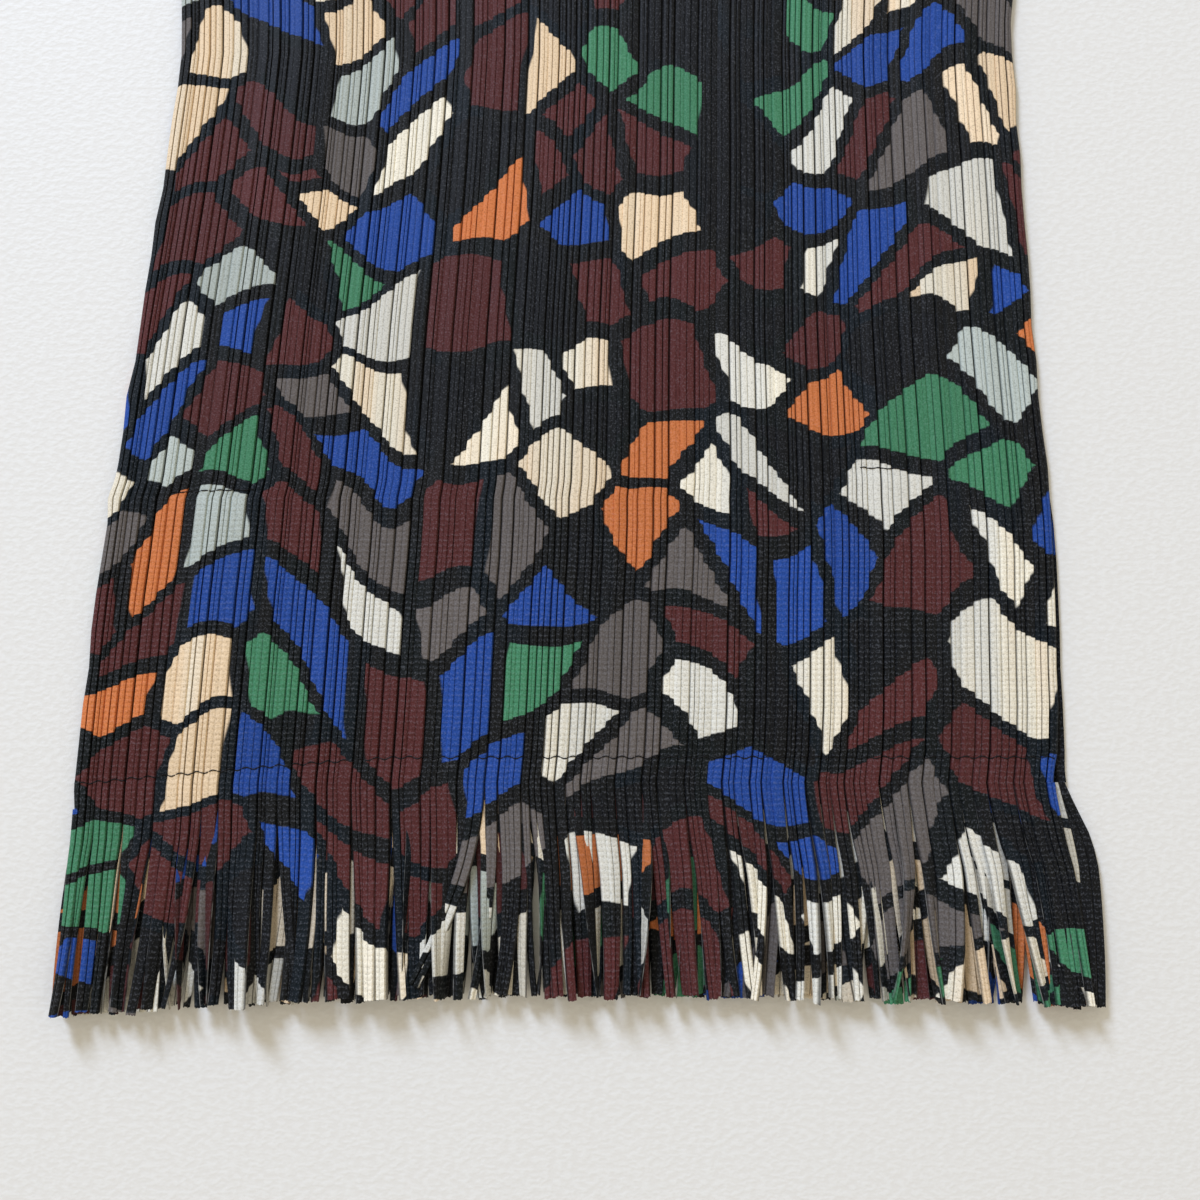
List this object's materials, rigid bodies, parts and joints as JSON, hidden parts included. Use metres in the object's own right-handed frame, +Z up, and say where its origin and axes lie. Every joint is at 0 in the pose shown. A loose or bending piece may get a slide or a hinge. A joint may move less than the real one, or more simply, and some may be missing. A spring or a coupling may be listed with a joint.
{
  "type": "sleeveless pleated top with a fringed hem, laid flat",
  "caption": "Flat-laid sleeveless pleated top, slightly flared, with a printed cloth and a hem cut into long fringe strands.",
  "frame": {"origin": "middle of the laid garment's outline, on the surface that it lies on", "axes": "+Y from the fringe to the shoulders, +X to the right as seen from above with the shoulders away, +Z up out of the front"},
  "size_m": [0.412, 0.6958, 0.0082],
  "materials": {
    "pleated_cloth": "heat-pleated polyester, matt with a faint sheen, printed",
    "fringe_cloth": "the same printed polyester, cut into narrow strands"
  },
  "bodies": {
    "root": {"front": "pleated_cloth", "back": "pleated_cloth", "fringe_front": "fringe_cloth", "fringe_front_under": "fringe_cloth", "fringe_back_under": "fringe_cloth", "fringe_back": "fringe_cloth"}
  },
  "joints": []
}
